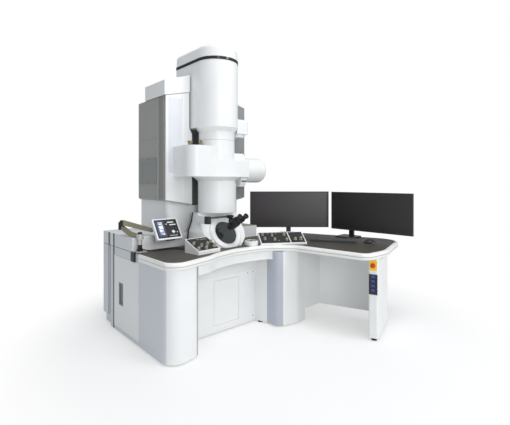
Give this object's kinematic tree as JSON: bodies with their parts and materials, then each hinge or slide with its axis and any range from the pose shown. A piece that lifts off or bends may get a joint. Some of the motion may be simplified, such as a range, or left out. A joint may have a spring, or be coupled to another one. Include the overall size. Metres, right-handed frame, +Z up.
{
  "type": "transmission electron microscope",
  "caption": "Tall white electron column on a tower behind an L-shaped operator's desk with viewing chamber, binocular, control panels, arm-mounted touch panel and monitors.",
  "frame": {"origin": "on the floor under the axis of the microscope column, at the underside of the plinth", "axes": "+Z up along the column; the machine's front faces -Y, and the desk's longer wing reaches out to +X"},
  "size_m": [2.1758, 1.9387, 2.428],
  "materials": {
    "mat": "satin",
    "slab": "matt laminate",
    "edge": "satin",
    "shelf": "fine texture",
    "camera_housing": "machined",
    "pedestal": "satin",
    "cabinet": "satin",
    "door": "satin",
    "handle": "matt",
    "cabinet_right": "satin",
    "front": "satin",
    "front_door": "satin",
    "apron_band": "satin",
    "accent": "satin",
    "pillar": "satin",
    "modesty": "satin",
    "leg": "satin",
    "stop_red": "gloss",
    "switch_black": "matt",
    "switch_blue": "gloss",
    "foot_rubber": "matt",
    "tower_low": "satin",
    "tower_frame": "satin",
    "tower_side": "satin",
    "tower_cover": "satin",
    "cap_white": "satin",
    "gun_white": "satin",
    "ring_black": "matt",
    "column_white": "satin",
    "port_white": "satin",
    "housing_white": "satin",
    "holder_white": "satin",
    "chamber_white": "satin",
    "ring_metal": "satin",
    "lead_glass": "polished",
    "scope_black": "anodised",
    "eye_black": "anodised",
    "arm_black": "black coated",
    "arm_olive": "anodised",
    "touch_white": "satin",
    "unit_white": "satin",
    "knob_silver": "satin",
    "unit_dark": "satin",
    "keys_black": "matt",
    "mouse_black": "satin",
    "monitor_black": "matt",
    "stand_black": "satin",
    "lead_black": "matt"
  },
  "bodies": {
    "console": {"desk_mat": "mat", "worktop": "slab", "edge_moulding": "edge", "raised_shelf": "shelf", "camera_chamber": "camera_housing", "left_pedestal": "pedestal", "left_cabinet": "cabinet", "right_cabinet": "cabinet_right", "front_panel": "front", "apron": "apron_band", "pillar_accent": "accent", "centre_pillar": "pillar", "modesty_panel": "modesty", "right_leg": "leg", "switch_plates": "switch_black", "levelling_feet": "foot_rubber", "lower_tower": "tower_low", "upper_tower": "tower_frame", "tower_side_panels": "tower_side", "tower_front_covers": "tower_cover", "tower_cap": "cap_white", "gun_cap": "gun_white", "gun_ring": "ring_black", "gun_cover": "gun_white", "mid_column": "column_white", "side_port": "port_white", "stage_housing": "housing_white", "lower_column": "column_white", "viewing_chamber": "chamber_white", "window_ring": "ring_metal", "window_glass": "lead_glass", "arm_clamp": "arm_black", "left_control_unit": "unit_white", "right_control_unit": "unit_white", "knob_unit": "unit_dark", "keyboard": "keys_black", "mouse": "mouse_black", "left_monitor_stand": "stand_black", "right_monitor_stand": "stand_black", "rear_lead": "lead_black", "front_lead": "lead_black"},
    "service_door": {"service_door": "door", "door_handle": "handle"},
    "access_door": {"access_door": "front_door"},
    "stop_button": {"stop_button": "stop_red"},
    "switch_1": {"switch_button_1": "switch_blue"},
    "switch_2": {"switch_button_2": "switch_blue"},
    "switch_3": {"switch_button_3": "switch_blue"},
    "switch_4": {"switch_button_4": "switch_blue"},
    "holder_cover": {"holder_cover": "holder_white"},
    "binocular": {"binocular": "scope_black"},
    "eyepiece_left": {"eyepiece_left": "eye_black"},
    "eyepiece_right": {"eyepiece_right": "eye_black"},
    "arm_lower": {"arm_lower": "arm_olive"},
    "arm_upper": {"arm_upper": "arm_olive"},
    "touch_panel": {"touch_panel": "touch_white"},
    "left_main_knob": {"left_main_knob": "knob_silver"},
    "right_main_knob": {"right_main_knob": "knob_silver"},
    "left_monitor": {"left_monitor": "monitor_black"},
    "right_monitor": {"right_monitor": "monitor_black"}
  },
  "joints": [
    {"name": "service_door_hinge", "type": "hinge", "parent": "console", "child": "service_door", "pos_m": [-0.725, 0.012, 0.34], "axis": [0, 0, 1], "range_deg": [0, 110]},
    {"name": "access_door_hinge", "type": "hinge", "parent": "console", "child": "access_door", "pos_m": [-0.156, -0.179, 0.254], "axis": [0, 0, -1], "range_deg": [0, 100]},
    {"name": "stop_press", "type": "slide", "parent": "console", "child": "stop_button", "axis": [0.9397, 0.342, 0], "range_m": [0, 0.0055], "stiffness_N_per_m": 900},
    {"name": "switch_press_1", "type": "slide", "parent": "console", "child": "switch_1", "axis": [0.9397, 0.342, 0], "range_m": [0, 0.0022], "stiffness_N_per_m": 500},
    {"name": "switch_press_2", "type": "slide", "parent": "console", "child": "switch_2", "axis": [0.9397, 0.342, 0], "range_m": [0, 0.0022], "stiffness_N_per_m": 500},
    {"name": "switch_press_3", "type": "slide", "parent": "console", "child": "switch_3", "axis": [0.9397, 0.342, 0], "range_m": [0, 0.0022], "stiffness_N_per_m": 500},
    {"name": "switch_press_4", "type": "slide", "parent": "console", "child": "switch_4", "axis": [0.9397, 0.342, 0], "range_m": [0, 0.0022], "stiffness_N_per_m": 500},
    {"name": "holder_cover_slide", "type": "slide", "parent": "console", "child": "holder_cover", "axis": [1, 0, 0], "range_m": [0, 0.12]},
    {"name": "binocular_tilt", "type": "hinge", "parent": "console", "child": "binocular", "pos_m": [0, -0.186, 0.968], "axis": [1, 0, 0], "range_deg": [-25, 8]},
    {"name": "eyepiece_left_turn", "type": "hinge", "parent": "binocular", "child": "eyepiece_left", "pos_m": [-0.032, -0.31365, 0.95215], "axis": [0, -0.866, 0.5], "range_deg": [-90, 90]},
    {"name": "eyepiece_right_turn", "type": "hinge", "parent": "binocular", "child": "eyepiece_right", "pos_m": [0.032, -0.31365, 0.95215], "axis": [0, -0.866, 0.5], "range_deg": [-90, 90]},
    {"name": "arm_post_swivel", "type": "hinge", "parent": "console", "child": "arm_lower", "pos_m": [-0.676, 0.092, 0.83], "axis": [0, 0, 1], "range_deg": [-3, 2]},
    {"name": "arm_elbow_swivel", "type": "hinge", "parent": "arm_lower", "child": "arm_upper", "pos_m": [-0.734, 0.314, 0.902], "axis": [0, 0, 1], "range_deg": [-3, 2]},
    {"name": "touch_panel_tilt", "type": "hinge", "parent": "arm_upper", "child": "touch_panel", "pos_m": [-0.459, 0.13179, 0.85099], "axis": [1, 0, 0], "range_deg": [-12, 3]},
    {"name": "left_knob_turn", "type": "hinge", "parent": "console", "child": "left_main_knob", "pos_m": [-0.22445, -0.27343, 0.75359], "axis": [0.0405, -0.4127, 0.91], "continuous": true},
    {"name": "right_knob_turn", "type": "hinge", "parent": "console", "child": "right_main_knob", "pos_m": [0.57901, -0.47926, 0.74639], "axis": [-0.2198, -0.3517, 0.91], "continuous": true},
    {"name": "left_monitor_tilt", "type": "hinge", "parent": "console", "child": "left_monitor", "pos_m": [0.95878, 0.01818, 0.9543], "axis": [0.7431, -0.6691, 0], "range_deg": [-6, 5]},
    {"name": "right_monitor_tilt", "type": "hinge", "parent": "console", "child": "right_monitor", "pos_m": [1.25688, -0.78771, 0.9543], "axis": [0.0715, -0.9974, 0], "range_deg": [-20, 5]}
  ]
}
